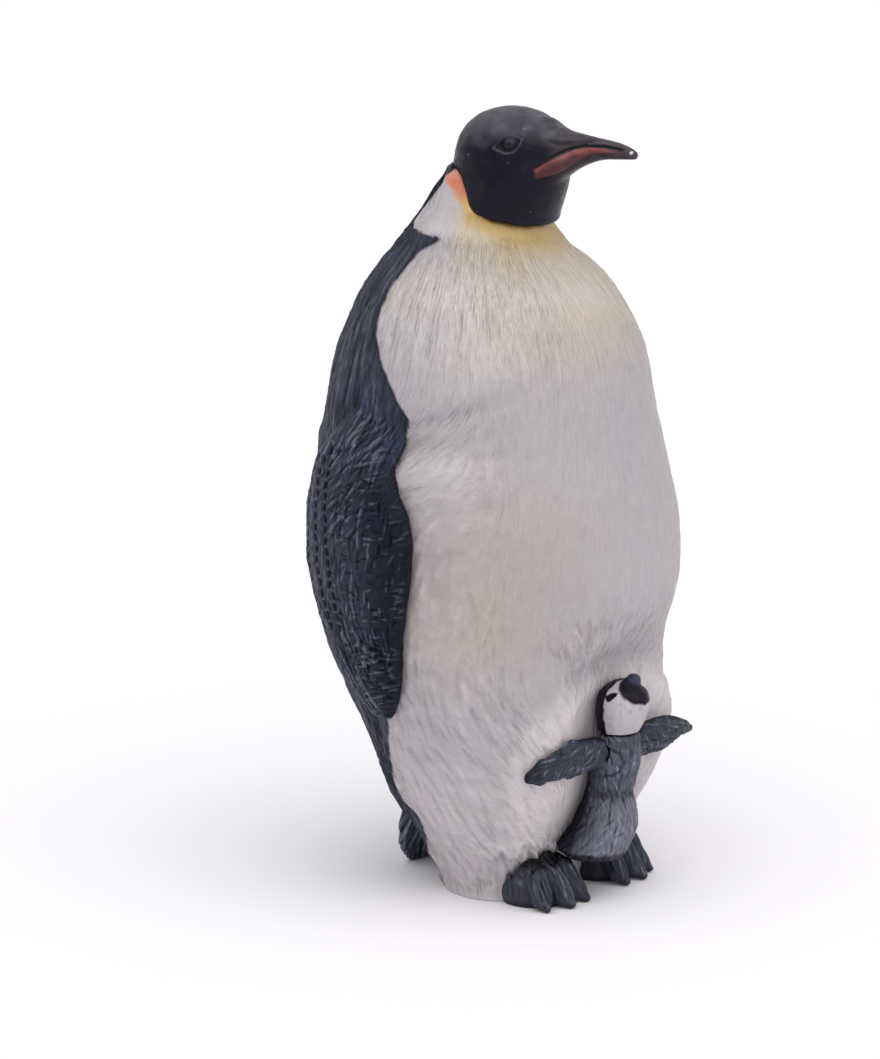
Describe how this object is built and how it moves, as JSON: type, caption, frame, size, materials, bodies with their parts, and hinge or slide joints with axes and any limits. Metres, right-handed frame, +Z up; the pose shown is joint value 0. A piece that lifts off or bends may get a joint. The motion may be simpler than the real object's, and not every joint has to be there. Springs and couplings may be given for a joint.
{
  "type": "penguin figurine",
  "caption": "Standing penguin figurine with a chick on its feet, moulded in painted vinyl: a hollow body of joined shells with plugged-in head, flippers, tail, feet and chick.",
  "frame": {"origin": "on the flat base of the body, straight below the middle of the head", "axes": "+Z up, the penguin faces -Y, its right side is -X"},
  "size_m": [0.0496, 0.0441, 0.095],
  "materials": {
    "white_paint": "satin hand-painted vinyl",
    "slate_paint": "satin hand-painted vinyl",
    "hood_paint": "satin hand-painted vinyl",
    "foot_paint": "satin hand-painted vinyl",
    "down_paint": "satin hand-painted vinyl"
  },
  "bodies": {
    "root": {"belly_shell": "white_paint", "back_shell": "slate_paint", "head": "hood_paint", "flipper_right": "slate_paint", "flipper_left": "slate_paint", "tail": "foot_paint", "foot_right": "foot_paint", "foot_left": "foot_paint", "chick_body": "down_paint", "chick_head": "white_paint", "chick_flipper_right": "down_paint", "chick_flipper_left": "down_paint"}
  },
  "joints": []
}
